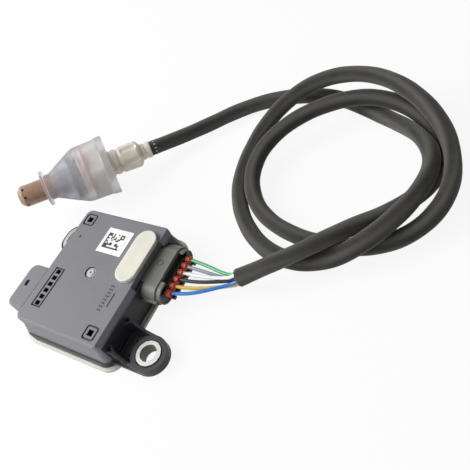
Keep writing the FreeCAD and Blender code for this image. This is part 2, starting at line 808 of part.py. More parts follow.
# Sleeve route from the probe to the plug, on the table, crossing over itself
route = [probe_point(sleeve_s), probe_point(sleeve_s + sleeve_lead)] + [
    Vec(*p)
    for p in (
        (13.4, 109.3, 4.2),
        (35.3, 120.5, 4.1),
        (59.9, 121.6, 4.0),
        (83.5, 111.7, 4.5),
        (103.5, 99.6, 9.7),
        (114.3, 84.7, 12.5),
        (113.7, 65.3, 14.4),
        (103.8, 45.4, 12.7),
        (88.3, 33.9, 6.9),
        (67.9, 32.4, 4.1),
        (47.9, 43.1, 3.5),
        (33.6, 62.0, 3.5),
        (30.5, 85.9, 5.8),
        (37.1, 108.0, 10.9),
        (52.7, 121.9, 15.1),
        (74.5, 124.7, 17.3),
        (97.5, 114.7, 17.8),
        (116.6, 96.2, 15.3),
        (124.2, 75.1, 12.3),
        (118.9, 57.5, 7.9),
        (102.3, 45.8, 3.9),
        (76.7, 42.4, 5.0),
        (52.9, 49.3, 5.3),
        (39.5, 65.4, 7.2),
        (38.9, 84.6, 10.0),
        (52.1, 103.4, 12.6),
        (74.2, 114.8, 13.6),
        (94.9, 114.6, 9.9),
        (110.1, 103.3, 5.2),
        (115.8, 85.7, 4.3),
        (108.2, 64.7, 7.4),
        (92.6, 45.6, 13.7),
        (77.1, 28.4, 14.3),
        (59.2, 19.0, 7.7),
    )
]
nodes["cable_sleeve"] = tube(route, sleeve_radius, "cable_sleeve")

# Six wires from the plug into the sleeve's end, one in the middle and five around it
end = route[-1]
outward = (route[-1] - route[-2]).normalize()
across = outward.cross(Vec(0, 0, 1)).normalize()
upward = across.cross(outward).normalize()
wire_angles = {"green": 18, "grey": 306, "white": 90, "black": None, "yellow": 234, "blue": 162}
for y, (colour, angle) in zip(wire_rows, wire_angles.items()):
    offset = Vec(0, 0, 0)
    if angle is not None:
        turn = math.radians(angle)
        offset = (across * math.cos(turn) + upward * math.sin(turn)) * bundle_radius
    last = end + offset
    points = [Vec(wire_start, y, plug_z), Vec(wire_bend_x, y, plug_z), last + outward * bundle_lead, last]
    nodes["wire_" + colour] = tube(points, wire_radius, "wire_" + colour)

# Probe: crimped ferrule, fluted barrel, banded collar
ferrule_step = ferrule_radius - 0.35
ferrule = turned(
    [
        (neck_s, 0),
        (neck_s, ferrule_radius - 0.2),
        (neck_s + 0.5, ferrule_radius),
        (neck_s + 1.5, ferrule_radius),
        (neck_s + 1.8, ferrule_step),
        (neck_s + 2.5, ferrule_step),
        (neck_s + 2.8, ferrule_radius),
        (sleeve_s - 0.4, ferrule_radius),
        (sleeve_s, ferrule_radius - 0.25),
        (sleeve_s, 0),
    ]
)
nodes["probe_ferrule"] = probe_placed(ferrule)
barrel = turned(
    [
        (barrel_s, 0),
        (barrel_s, barrel_radius - 0.9),
        (barrel_s + 0.3, barrel_radius - 0.5),
        (barrel_s + 1.2, barrel_radius - 0.2),
        (neck_s - 2.2, barrel_radius),
        (neck_s - 1.1, barrel_radius - 0.5),
        (neck_s - 0.4, barrel_radius - 1.4),
        (neck_s, ferrule_radius),
        (neck_s, 0),
    ]
)
flute_axis = barrel_radius + flute_radius - flute_depth
for i in range(flute_count):
    foot = spoke(i, flute_count, math.radians(15)) * flute_axis + Vec(0, 0, barrel_s + 3.0)
    head = foot + Vec(0, 0, neck_s - barrel_s - 6.0)
    flute = Part.makeCylinder(flute_radius, (head - foot).Length, foot)
    flute = flute.fuse([Part.makeSphere(flute_radius, foot), Part.makeSphere(flute_radius, head)])
    barrel = barrel.cut(flute)
nodes["probe_barrel"] = probe_placed(barrel)
collar_profile = [
    (collar_s, 0),
    (collar_s, 7.2),
    (collar_s + 0.4, 7.0),
    (collar_s + 1.2, 6.0),
    (collar_s + 1.7, 5.65),
    (collar_s + 2.2, 5.65),
    (collar_s + 2.4, 6.05),
    (barrel_s - 0.8, 6.05),
    (barrel_s - 0.5, 5.45),
    (barrel_s, 5.45),
    (barrel_s, 0),
]
nodes["probe_collar"] = probe_placed(turned(collar_profile))

# Threaded and six-sided body, bored for the ceramic bush
root_radius = thread_radius - thread_depth
profile = [(tube_end - 1, tube_radius), (tube_end - 1, 5.7), (tube_end, 6.2), (tube_end + 4, 6.6)]
profile.append((thread_s[0], root_radius))
turns = int((thread_s[1] - thread_s[0] - 1.0) / thread_pitch)
for i in range(turns):
    s = thread_s[0] + i * thread_pitch
    profile.append((s + 0.55 * thread_pitch, thread_radius))
    profile.append((s + thread_pitch, root_radius))
profile += [(hex_s[0], root_radius), (hex_s[0], body_radius), (collar_s, body_radius)]
profile += [(collar_s, bore_radius), (tube_end, bore_radius), (tube_end, tube_radius)]
hex_corner = hex_flats / math.sqrt(3)
corners = [spoke(k, 6, 0) * hex_corner + Vec(0, 0, hex_s[0]) for k in range(6)]
hexagon = Part.Face(Part.makePolygon(corners + corners[:1])).extrude(Vec(0, 0, hex_s[1] - hex_s[0]))
chamfer_s = hex_s[1] - 1.2
chamfer = Part.makeCone(hex_flats / 2 + 2, hex_flats / 2 - 0.1, hex_s[1] - chamfer_s, Vec(0, 0, chamfer_s))
chamfer = chamfer.fuse(disc(hex_flats / 2 + 2, hex_s[0], chamfer_s))
hexagon = hexagon.common(disc(cap_shoulder[0] - cap_wall - 0.25, hex_s[0], hex_s[1])).common(chamfer)
hexagon = hexagon.cut(disc(body_radius - 0.6, hex_s[0] - 1, hex_s[1] + 1))
nodes["probe_body"] = probe_placed(turned(profile).fuse(hexagon))
gasket = disc(gasket_radius, gasket_s[0], gasket_s[1])
nodes["gasket_ring"] = probe_placed(gasket.cut(disc(root_radius, gasket_s[0] - 1, gasket_s[1] + 1)))

# Ceramic strip in its bush
strip_x, strip_y = element_half
strip_length = element_s[1] - element_s[0]
strip = Part.makeBox(2 * strip_x, 2 * strip_y, strip_length, Vec(-strip_x, -strip_y, element_s[0]))
bush = disc(bore_radius, tube_end + 1, collar_s - 1.3)
nodes["element_bush"] = probe_placed(bush.cut(strip))
nodes["sensing_element"] = probe_placed(strip)

# Protection tubes with their rings of small holes
outer = turned(
    [
        (tube_nose + 0.9, 0),
        (tube_nose, 1.8),
        (tube_nose, 3.1),
        (tube_nose + 1.3, tube_radius - 0.5),
        (tube_nose + 2.1, tube_radius),
        (tube_end, tube_radius),
        (tube_end, tube_radius - tube_wall),
        (tube_nose + 2.3, tube_radius - tube_wall),
        (tube_nose + 1.7, 3.1),
        (tube_nose + 1.5, 0),
    ]
)
outer = outer.cut(disc(0.9, tube_nose - 1, tube_nose + 3))
for i in range(tube_hole_count):
    out = spoke(i, tube_hole_count, 0.26)
    outer = outer.cut(Part.makeCylinder(tube_hole_radius, 3, out * inner_radius + Vec(0, 0, tube_holes), out))
nodes["tube_outer"] = probe_placed(outer)
inner = disc(inner_radius, inner_nose, tube_end + 1).fuse(disc(bore_radius, tube_end, tube_end + 1))
inner = inner.cut(disc(inner_radius - inner_wall, inner_nose + inner_wall, tube_end + 2))
inner = inner.cut(disc(1.1, inner_nose - 1, inner_nose + 1))
for i in range(4):
    out = spoke(i, 4, 0)
    inner = inner.cut(Part.makeCylinder(0.7, 3, out * (inner_radius - 1.5) + Vec(0, 0, -3), out))
nodes["tube_inner"] = probe_placed(inner.removeSplitter())

# Translucent cap: small flange, neck, cone, skirt, flared lip
cap_bore = tube_radius + fit_gap
cap_end = cap_lip[1] + 0.5
cap_profile = [
    (-cap_flange[1], cap_bore),
    (-cap_flange[1], cap_flange[0]),
    (cap_flange[1], cap_flange[0]),
    (cap_flange[1], cap_neck[0]),
    (cap_neck[1], cap_neck[0]),
    (cap_shoulder[1] - 1.9, cap_shoulder[0] - 0.55),
    (cap_shoulder[1], cap_shoulder[0]),
    (cap_skirt[1], cap_skirt[0]),
    (cap_skirt[1] + 0.6, cap_skirt[0] + 0.35),
    (cap_lip[1], cap_lip[0]),
    (cap_end, cap_lip[0] - 0.2),
    (cap_end, cap_lip[0] - cap_wall),
    (cap_skirt[1] + 0.7, cap_skirt[0] - cap_wall + 0.2),
    (cap_skirt[1], cap_skirt[0] - cap_wall),
    (cap_shoulder[1], cap_shoulder[0] - cap_wall),
    (cap_shoulder[1] - 1.7, cap_shoulder[0] - 0.55 - cap_wall),
    (cap_neck[1] + 0.6, cap_bore),
]
nodes["protective_cap"] = probe_placed(turned(cap_profile))

for name, shape in nodes.items():
    solid = shape
    if shape.ShapeType != "Solid" and len(shape.Solids) == 1:
        solid = shape.Solids[0]
    if len(shape.Solids) != 1 or not solid.isValid():
        print("CHECK", name, "solids", len(shape.Solids), "valid", solid.isValid())
    solid.exportStep("parts/%s.step" % name)
print("nodes", len(nodes))
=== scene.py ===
import math

import bmesh
import bpy
from mathutils import Matrix, Vector


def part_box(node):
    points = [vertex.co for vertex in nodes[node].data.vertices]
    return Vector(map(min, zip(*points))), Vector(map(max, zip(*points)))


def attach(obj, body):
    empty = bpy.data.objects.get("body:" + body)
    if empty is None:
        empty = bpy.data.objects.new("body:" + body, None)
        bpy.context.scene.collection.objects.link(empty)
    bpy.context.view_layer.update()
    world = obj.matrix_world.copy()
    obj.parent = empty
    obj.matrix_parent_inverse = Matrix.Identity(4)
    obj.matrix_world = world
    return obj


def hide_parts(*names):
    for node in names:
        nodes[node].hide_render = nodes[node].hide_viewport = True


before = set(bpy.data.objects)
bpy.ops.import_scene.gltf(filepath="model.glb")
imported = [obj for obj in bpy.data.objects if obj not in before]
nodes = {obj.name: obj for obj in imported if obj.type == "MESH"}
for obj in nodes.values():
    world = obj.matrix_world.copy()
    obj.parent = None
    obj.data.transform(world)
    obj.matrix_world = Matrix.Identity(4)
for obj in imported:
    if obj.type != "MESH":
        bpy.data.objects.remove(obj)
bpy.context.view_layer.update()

MM = 0.001

# Camera
# Seen from above the plug side, rolled so that the module's front edge runs down to the right.
# Its place, turn and lens follow the photograph.
camera_azimuth = math.radians(51.03)
camera_elevation = math.radians(48.16)
camera_roll = math.radians(-29.63)
camera_place = Vector((0.17709, -0.06777, 0.19337))
image_side = 470
focal_pixels = 618.66
sensor_width = 36.0

camera_data = bpy.data.cameras.new("camera")
camera_data.sensor_width = sensor_width
camera_data.lens = sensor_width * focal_pixels / image_side
camera_data.clip_start = 0.01
camera = bpy.data.objects.new("camera", camera_data)
bpy.context.collection.objects.link(camera)
turn = Matrix.Rotation(camera_azimuth, 4, "Z") @ Matrix.Rotation(math.pi / 2 - camera_elevation, 4, "X")
camera.matrix_world = Matrix.Translation(camera_place) @ turn @ Matrix.Rotation(camera_roll, 4, "Z")
bpy.context.scene.camera = camera

# Base plate
# Thin pale plate of rolled aluminium that closes the module from below and shows as a rim on two sides.
# Its finish is shared by the other metal pieces: turning or rolling marks, soft edges and a slow stain.


def linear(*srgb):
    """Linear colour from 0-255 screen values."""
    return tuple(((c / 255 + 0.055) / 1.055) ** 2.4 if c > 10 else c / 255 / 12.92 for c in srgb) + (1.0,)


def scaled(colour, factor):
    """Darker or paler colour."""
    return tuple(c * factor for c in colour[:3]) + (1.0,)


class Tree:
    """Short calls that add nodes to one node tree and wire them by socket name."""

    def __init__(self, tree):
        self.tree = tree

    def add(self, kind, inputs=None, **settings):
        made = self.tree.nodes.new("ShaderNode" + kind)
        for key, value in settings.items():
            setattr(made, key, value)
        for key, value in (inputs or {}).items():
            self.feed(made.inputs[key], value)
        return made

    def feed(self, socket, value):
        if isinstance(value, bpy.types.NodeSocket):
            self.tree.links.new(value, socket)
        else:
            socket.default_value = value

    def connect(self, shader, **inputs):
        """Sets or links sockets by name; underscores stand for spaces."""
        for key, value in inputs.items():
            self.feed(shader.inputs[key.replace("_", " ")], value)

    def use(self, shared, **inputs):
        holder = self.add("Group")
        holder.node_tree = shared.tree
        self.connect(holder, **inputs)
        return holder.outputs

    def math(self, operation, a, b=0.0):
        return self.add("Math", {0: a, 1: b}, operation=operation).outputs[0]

    def ramp(self, value, low, high, to_low=0.0, to_high=1.0):
        made = self.add("MapRange", {"Value": value, 1: low, 2: high, 3: to_low, 4: to_high}, clamp=True)
        return made.outputs[0]

    def mix(self, factor, a, b):
        return self.add("Mix", {0: factor, 6: a, 7: b}, data_type="RGBA").outputs[2]

    def noise(self, vector, scale, detail=3.0, roughness=0.5):
        inputs = {"Vector": vector, "Scale": scale, "Detail": detail, "Roughness": roughness}
        return self.add("TexNoise", inputs).outputs["Fac"]

    def place(self):
        return self.add("TexCoord").outputs["Object"]

    def bump(self, height, strength, distance, normal=None):
        made = self.add("Bump", {"Height": height, "Strength": strength, "Distance": distance})
        if normal is not None:
            self.feed(made.inputs["Normal"], normal)
        return made.outputs[0]


def group(name, inputs, outputs):
    """New shader node group; returns its tree helper, its inputs and its outputs."""
    made = bpy.data.node_groups.new(name, "ShaderNodeTree")
    for label, kind, value in inputs:
        socket = made.interface.new_socket(label, in_out="INPUT", socket_type="NodeSocket" + kind)
        socket.default_value = value
    for label, kind in outputs:
        made.interface.new_socket(label, in_out="OUTPUT", socket_type="NodeSocket" + kind)
    tree = Tree(made)
    return tree, made.nodes.new("NodeGroupInput").outputs, made.nodes.new("NodeGroupOutput").inputs


# Soft edge: each edge catches a thin line of light, and gives a mask of the edges, on which a plastic may
# scale its colour: rubbed wear on most pieces, painted highlight on the housing and painted shade on the
# cover
edge_mask_limits = (0.985, 0.8)
soft_edge, given, result = group(
    "soft edge", [("Radius", "Float", 0.2 * MM)], [("Normal", "Vector"), ("Edge Mask", "Float")]
)
rounded = soft_edge.add("Bevel", {"Radius": given["Radius"]}, samples=6).outputs[0]
flat = soft_edge.add("NewGeometry").outputs["Normal"]
alike = soft_edge.add("VectorMath", {0: rounded, 1: flat}, operation="DOT_PRODUCT").outputs["Value"]
soft_edge.feed(result["Normal"], rounded)
soft_edge.feed(result["Edge Mask"], soft_edge.ramp(alike, *edge_mask_limits))

# Grain: fine surface texture, slow shade changes, and a thin scatter of dust on what faces up
speck_scale = 1900.0
speck_limits = (0.72, 0.8)
upward_limits = (0.5, 0.95)
grain_scale = 5200.0
shade_scale = 90.0
grain, given, result = group(
    "grain", [("Scale", "Float", 1.0)], [("Height", "Float"), ("Shade", "Float"), ("Dust", "Float")]
)
spot = grain.place()
specks = grain.ramp(grain.noise(spot, speck_scale, 1.0), *speck_limits)
upward = grain.add("SeparateXYZ", {0: grain.add("NewGeometry").outputs["Normal"]}).outputs["Z"]
fine = grain.math("MULTIPLY", given["Scale"], grain_scale)
grain.feed(result["Height"], grain.noise(spot, fine, 2.0, 0.6))
broad = grain.math("MULTIPLY", given["Scale"], shade_scale)
grain.feed(result["Shade"], grain.noise(spot, broad, 4.0, 0.6))
grain.feed(result["Dust"], grain.math("MULTIPLY", specks, grain.ramp(upward, *upward_limits)))


def material(name):
    """New material, its tree helper and its main shader."""
    made = bpy.data.materials.new(name)
    made.use_nodes = True
    return made, Tree(made.node_tree), made.node_tree.nodes["Principled BSDF"]


def distance_from_axis(tree, spot, centre, axis):
    """Length along an axis and distance from it, as two values."""
    away = tree.add("VectorMath", {0: spot, 1: tuple(centre)}, operation="SUBTRACT").outputs[0]
    along = tree.add("VectorMath", {0: away, 1: tuple(axis)}, operation="DOT_PRODUCT").outputs["Value"]
    whole = tree.add("VectorMath", {0: away}, operation="LENGTH").outputs["Value"]
    whole_squared = tree.math("MULTIPLY", whole, whole)
    along_squared = tree.math("MULTIPLY", along, along)
    return along, tree.math("SQRT", tree.math("SUBTRACT", whole_squared, along_squared))


rolled_scale = 2600.0
turned_scale = 7000.0
stain_scale = 260.0
stain_limits = (0.42, 0.62)
metal_shades = (0.86, 1.08)


def metal(
    name, colour, roughness, marks, centre=None, axis=None, stain=None, amount=0.0, bare=1.0, tint=None
):
    """Metal with turning marks round an axis, or a fine rolled texture, and patches of stain.

    bare is 1 for clean metal and less under a film of oxide.
    tint(tree, tone, along, radial) may repaint parts of a turned piece.
    """
    made, tree, shader = material(name)
    texture = tree.use(grain, Scale=1.0)
    edges = tree.use(soft_edge, Radius=0.15 * MM)
    spot = tree.place()
    if axis is None:
        ridges = tree.noise(spot, rolled_scale, 4.0, 0.7)
    else:
        along, radial = distance_from_axis(tree, spot, centre, axis)
        station = tree.add("CombineXYZ", {"X": along, "Y": radial}).outputs[0]
        ridges = tree.noise(station, turned_scale, 2.0, 0.7)
    tone = tree.mix(texture["Shade"], *(scaled(colour, factor) for factor in metal_shades))
    if stain is not None:
        patches = tree.noise(spot, stain_scale, 5.0, 0.65)
        tone = tree.mix(tree.ramp(patches, *stain_limits, 0.0, amount), tone, stain)
    if tint is not None:
        tone = tint(tree, tone, along, radial)
    tree.connect(
        shader,
        Base_Color=tone,
        Metallic=bare,
        Roughness=tree.ramp(ridges, 0.3, 0.7, roughness - 0.08, roughness + 0.1),
        Normal=tree.bump(ridges, marks, 0.1 * MM, edges["Normal"]),
    )
    return made


def dress(made, *names):
    """Gives CAD nodes a material, keeping their own shape."""
    for name in names:
        mesh = nodes[name].data
        mesh.materials.clear()
        mesh.materials.append(made)


dress(metal("plate_metal", linear(186, 182, 175), 0.5, 0.04, bare=0.3), "base_plate")

# Housing
# Black glass-filled moulding: tub, plug socket, arm with its ribs, and both ears, in one piece.
# Its skin has a faint spark-eroded grain and a low gloss that shows on the upright faces.
dust_colour = linear(170, 168, 165)
plastic_shades = (0.86, 1.14)


def plastic(
    name,
    colour,
    roughness,
    bump=0.12,
    edge=0.18 * MM,
    edge_share=0.35,
    edge_tone=1.9,
    dust=0.1,
    scale=1.0,
    gloss=0.5,
    tint=None,
):
    """Moulded plastic with grain and dust; a factor scales the colour at its edges, as rubbed wear, painted
    highlight or painted shade.

    tint(tree, colour) may repaint parts of it.
    """
    made, tree, shader = material(name)
    texture = tree.use(grain, Scale=scale)
    edges = tree.use(soft_edge, Radius=edge)
    shade = tree.mix(texture["Shade"], *(scaled(colour, factor) for factor in plastic_shades))
    if tint is not None:
        shade = tint(tree, shade)
    shade = tree.mix(tree.math("MULTIPLY", edges["Edge Mask"], edge_share), shade, scaled(colour, edge_tone))
    tree.connect(
        shader,
        Base_Color=tree.mix(tree.math("MULTIPLY", texture["Dust"], dust), shade, dust_colour),
        Roughness=tree.ramp(texture["Shade"], 0.3, 0.7, roughness - 0.05, roughness + 0.06),
        Normal=tree.bump(texture["Height"], bump, 0.2 * MM, edges["Normal"]),
        Specular_IOR_Level=gloss,
    )
    return made


# Painted highlight: its edges are painted much paler, as if the rims caught the light.
housing_made = plastic(
    "housing_plastic", linear(44, 44, 49), 0.42, bump=0.1, edge=0.35 * MM, edge_share=0.8, edge_tone=3.2, gloss=0.3
)
dress(housing_made, "housing")

# Compression limiters
# Sintered steel bushes pressed into the two ears, so that the screws don't crush the moulding.
# Their ends are pale and satin, and the bore of each is darkened with painted shade.
bush_bore = 3.5 * MM
bore_blend = (0.02 * MM, 0.1 * MM)
bush_colour = linear(181, 180, 177)
bore_shade_colour = linear(92, 88, 82)


def shade_bore(tree, tone, along, radial):
    """Paints shade on what lies within the bore."""
    inside = tree.ramp(radial, bush_bore + bore_blend[1], bush_bore + bore_blend[0])
    return tree.mix(inside, tone, bore_shade_colour)


for bush in ("bush_round", "bush_slot"):
    low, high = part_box(bush)
    middle = (low + high) / 2
    made = metal(bush + "_steel", bush_colour, 0.42, 0.25, middle, (0, 0, 1), bare=0.5, tint=shade_bore)
    dress(made, bush)

# Circuit board
# Green laminate board inside the tub, standing on four posts of the housing.
# A processor, a regulator and a can capacitor are soldered on it.
dress(plastic("board_laminate", linear(20, 92, 48), 0.3), "circuit_board")
dress(plastic("chip_plastic", linear(26, 26, 26), 0.5), "board_processor", "board_regulator")
dress(metal("can_aluminium", linear(205, 205, 206), 0.32, 0.25), "board_capacitor")

# Connector pins
# Tinned brass pins stand in a black carrier for the vehicle's plug and in the housing for the lead's plug.
# The lead's terminals are of the same strip.
contacts = ["%s_%d" % (kind, i + 1) for kind in ("vehicle_pin", "socket_pin", "terminal") for i in range(6)]
dress(metal("pin_metal", linear(206, 200, 180), 0.25, 0.25), *contacts)
dress(plastic("carrier_plastic", linear(26, 26, 28), 0.42), "pin_carrier")

# Cover
# Slate-grey moulding, matt and finely grained, clipped and sealed over the tub.
# The pale disc in its middle is the injection point; the small raised ticks are left darker by the mould.
# Its grooves and slots are darkened with painted shade.
cover_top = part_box("label")[0][2]
cover_colour = linear(119, 118, 124)
groove_shade_and_pip_colour = linear(44, 43, 47)
gate_colour = linear(188, 187, 188)
tick_colour = linear(84, 83, 89)
disc_radius = 2.2 * MM
pip_radius = 0.4 * MM
recess_depth = 0.35 * MM
recess_area = (20.9 * MM, 26.6 * MM)
blur = 0.08 * MM
tick_rise = (0.08 * MM, 0.12 * MM)


def cover_marks(tree, shade):
    """Paints shade into grooves and slots, and paints the gate disc, its dark pip and the raised ticks."""
    parts = tree.add("SeparateXYZ", {0: tree.place()}).outputs
    depth = tree.math("SUBTRACT", cover_top, parts["Z"])
    across = tree.math("LESS_THAN", tree.math("ABSOLUTE", parts["X"]), recess_area[0])
    length = tree.math("LESS_THAN", tree.math("ABSOLUTE", parts["Y"]), recess_area[1])
    inner = tree.math("MULTIPLY", across, length)
    # Painted shade: the floors of grooves and slots, below the top face, are darkened.
    low = tree.math("MULTIPLY", tree.ramp(depth, recess_depth, recess_depth + blur), inner)
    flat = tree.add("CombineXYZ", {"X": parts["X"], "Y": parts["Y"]}).outputs[0]
    radius = tree.add("VectorMath", {0: flat}, operation="LENGTH").outputs["Value"]
    shade = tree.mix(low, shade, groove_shade_and_pip_colour)
    shade = tree.mix(tree.ramp(radius, disc_radius + blur, disc_radius), shade, gate_colour)
    shade = tree.mix(tree.ramp(radius, pip_radius + blur, pip_radius), shade, groove_shade_and_pip_colour)
    return tree.mix(tree.ramp(depth, -tick_rise[0], -tick_rise[1]), shade, tick_colour)


# Painted shade: its edges are painted darker, so that the rounded edges and the grooves look shaded.
cover_made = plastic(
    "cover_plastic",
    cover_colour,
    0.5,
    bump=0.16,
    edge=0.45 * MM,
    edge_share=0.8,
    edge_tone=0.3,
    dust=0.08,
    gloss=0.35,
    tint=cover_marks,
)
dress(cover_made, "cover")

# Seals in the module
# Black moulded rubber: the ring between tub and cover, and the ring on the plug's nose.
# Each is squeezed a little as the pieces on both sides of it close.
rubber_shades = (0.75, 1.2)


def rubber(name, colour, roughness):
    """Moulded rubber with a faint bloom."""
    made, tree, shader = material(name)
    texture = tree.use(grain, Scale=0.6)
    edges = tree.use(soft_edge, Radius=0.2 * MM)
    tree.connect(
        shader,
        Base_Color=tree.mix(texture["Shade"], *(scaled(colour, factor) for factor in rubber_shades)),
        Roughness=roughness,
        Normal=tree.bump(texture["Height"], 0.15, 0.2 * MM, edges["Normal"]),
        Sheen_Weight=0.1,
    )
    return made


dress(rubber("dark_rubber", linear(28, 28, 28), 0.5), "cover_seal", "plug_seal")

# Socket cap
# Cream polypropylene moulding, smooth and slightly waxy.
# It is pressed into the cover over the plug's contacts.
cream = plastic("cream_plastic", linear(223, 221, 208), 0.5, bump=0.1, edge_share=0.05, dust=0.05, gloss=0.3)
dress(cream, "socket_cap")

# Label
# White film label stuck on the cover beside the cap.
# It is printed with a block of small dark squares and two thin plain rules beside it.
label_low, label_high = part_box("label")
label_middle = (label_low + label_high) / 2
square = 0.75 * MM
block_half = (6 * square, 5 * square)
block_shift = (-square, 0.0)
rule_half = (0.09 * MM, 3.4 * MM)
rule_places = (4.6 * MM, 5.3 * MM)
ink_limit = 0.45
solid_below = (-6.5, -4.5)
label_made, tree, shader = material("label_paper")
spot = tree.place()
parts = tree.add("SeparateXYZ", {0: spot}).outputs
east = tree.math("SUBTRACT", parts["X"], label_middle[0])
north = tree.math("SUBTRACT", parts["Y"], label_middle[1])


def within(value, middle, half):
    """1 where a value lies less than half from the middle."""
    return tree.math("LESS_THAN", tree.math("ABSOLUTE", tree.math("SUBTRACT", value, middle)), half)


columns = tree.math("FLOOR", tree.math("DIVIDE", east, square))
rows = tree.math("FLOOR", tree.math("DIVIDE", north, square))
cell = tree.add("CombineXYZ", {"X": columns, "Y": rows}).outputs[0]
squares = tree.add("TexWhiteNoise", {"Vector": cell})
block = tree.math(
    "MULTIPLY",
    within(east, block_shift[0], block_half[0]),
    within(north, block_shift[1], block_half[1]),
)
ink = tree.math("GREATER_THAN", squares.outputs["Value"], ink_limit)
left_column = tree.math("LESS_THAN", columns, solid_below[0])
bottom_row = tree.math("LESS_THAN", rows, solid_below[1])
ink = tree.math("MAXIMUM", ink, tree.math("MAXIMUM", left_column, bottom_row))
ink = tree.math("MULTIPLY", ink, block)
rules = tree.math("ADD", *(within(east, middle, rule_half[0]) for middle in rule_places))
rules = tree.math("MULTIPLY", rules, within(north, 0.0, rule_half[1]))
paper = tree.mix(tree.noise(spot, 900.0, 3.0), linear(232, 232, 230), linear(246, 246, 244))
paper = tree.mix(rules, paper, linear(190, 190, 192))
tree.connect(
    shader,
    Base_Color=tree.mix(ink, paper, linear(38, 38, 40)),
    Roughness=0.45,
    Normal=tree.bump(tree.noise(spot, 1500.0, 3.0), 0.08, 0.1 * MM),
)
dress(label_made, "label")

# Plug
# Olive-grey moulded shell, pushed into the module's socket.
# Its black inner body holds the wires, and a black comb with six tabs locks them at the rear.
dress(plastic("plug_plastic", linear(112, 112, 106), 0.46, bump=0.14, edge_share=0.3, gloss=0.35), "plug_shell")
dress(plastic("holder_plastic", linear(22, 22, 23), 0.4, edge_share=0.2), "plug_holder", "plug_lock")

# Wire seals
# Orange-red silicone bushes with moulded ribs, one on each wire.
# They are pushed into the rear of the plug with the wires.
dress(rubber("seal_rubber", linear(226, 94, 58), 0.36), *["wire_seal_%d" % (i + 1) for i in range(6)])

# Probe
# Turned steel body, collar and barrel with a warm satin finish, and a ferrule crimped on the lead.
# The thread is dark with grease, and the double tube at the tip is browned by heat.
# A white ceramic strip stands in the tube, held by a ceramic bush.
probe_from = Vector((-50.15, 31.60, 19.818)) * MM
probe_heading = math.radians(51.21)
probe_tilt = math.radians(-11.01)
probe_level = Vector((math.cos(probe_heading), math.sin(probe_heading), 0))
probe_axis = probe_level * math.cos(probe_tilt) + Vector((0, 0, math.sin(probe_tilt)))
thread_end = 17.6 * MM
thread_blend = 0.2 * MM
oxide_film = 0.15
warm = linear(238, 231, 217)
heat_stain = linear(202, 189, 164)
grease = linear(104, 104, 110)


def turned_metal(name, colour, roughness, marks, stain=None, amount=0.0, tint=None):
    """Metal turned about the probe's axis, under a thin film of oxide."""
    return metal(name, colour, roughness, marks, probe_from, probe_axis, stain, amount, oxide_film, tint)


def greased_thread(tree, tone, along, radial):
    """Darkens the body as far as the thread reaches."""
    return tree.mix(tree.ramp(along, thread_end, thread_end - thread_blend), tone, grease)


dress(turned_metal("probe_steel", warm, 0.36, 0.2, heat_stain, 0.3), "probe_barrel", "probe_collar")
dress(turned_metal("body_steel", warm, 0.4, 0.2, heat_stain, 0.3, tint=greased_thread), "probe_body")
pale_metal = linear(236, 233, 217)
dress(turned_metal("ferrule_metal", pale_metal, 0.38, 0.2, linear(196, 188, 164), 0.3), "probe_ferrule")
dress(turned_metal("gasket_metal", linear(202, 170, 156), 0.4, 0.2), "gasket_ring")
browned = turned_metal("tube_metal", linear(166, 132, 110), 0.38, 0.25, linear(122, 88, 68), 0.4)
dress(browned, "tube_outer", "tube_inner")
dress(plastic("element_ceramic", linear(226, 224, 216), 0.6), "sensing_element", "element_bush")

# Protective cap
# Soft milky polyethylene, blown thin and pushed over the thread for transport.
# What is inside shows through blurred and dim, and its lip and flange are a little denser.
milk = linear(242, 243, 246)
view_blur = 0.4
view_bend = 1.17
blurred_share = 0.75
glow_share = 0.75
clear_share = (0.66, 0.36)
light_share = 0.85
milk_shades = (0.92, 1.06)
cap_made, tree, shader = material("cap_plastic")
texture = tree.use(grain, Scale=0.5)
edges = tree.use(soft_edge, Radius=0.3 * MM)
spot = tree.place()
waves = tree.noise(spot, 160.0, 3.0, 0.5)
relief = tree.bump(waves, 0.25, 0.6 * MM, edges["Normal"])
tree.connect(
    shader,
    Base_Color=tree.mix(texture["Shade"], *(scaled(milk, factor) for factor in milk_shades)),
    Roughness=0.34,
    Specular_IOR_Level=0.4,
    Normal=relief,
)
straight = tree.add("BsdfTransparent", {"Color": linear(250, 250, 252)})
blurred = tree.add("BsdfRefraction", {"Color": linear(252, 252, 254), "Normal": relief})
tree.connect(blurred, Roughness=view_blur, IOR=view_bend)
clear = tree.add("MixShader", {0: blurred_share, 1: straight.outputs[0], 2: blurred.outputs[0]})
glow = tree.add("BsdfTranslucent", {"Color": milk, "Normal": relief})
milky = tree.add("MixShader", {0: glow_share, 1: shader.outputs[0], 2: glow.outputs[0]})
thin = tree.ramp(edges["Edge Mask"], 0.0, 1.0, *clear_share)
both = tree.add("MixShader", {0: thin, 1: milky.outputs[0], 2: clear.outputs[0]})
path = tree.add("LightPath").outputs
light = tree.math("MAXIMUM", path["Is Shadow Ray"], path["Is Diffuse Ray"])
passing = tree.math("MULTIPLY", light, light_share)
lit_inside = tree.add("MixShader", {0: passing, 1: both.outputs[0], 2: straight.outputs[0]})
tree.feed(cap_made.node_tree.nodes["Material Output"].inputs["Surface"], lit_inside.outputs[0])
dress(cap_made, "protective_cap")

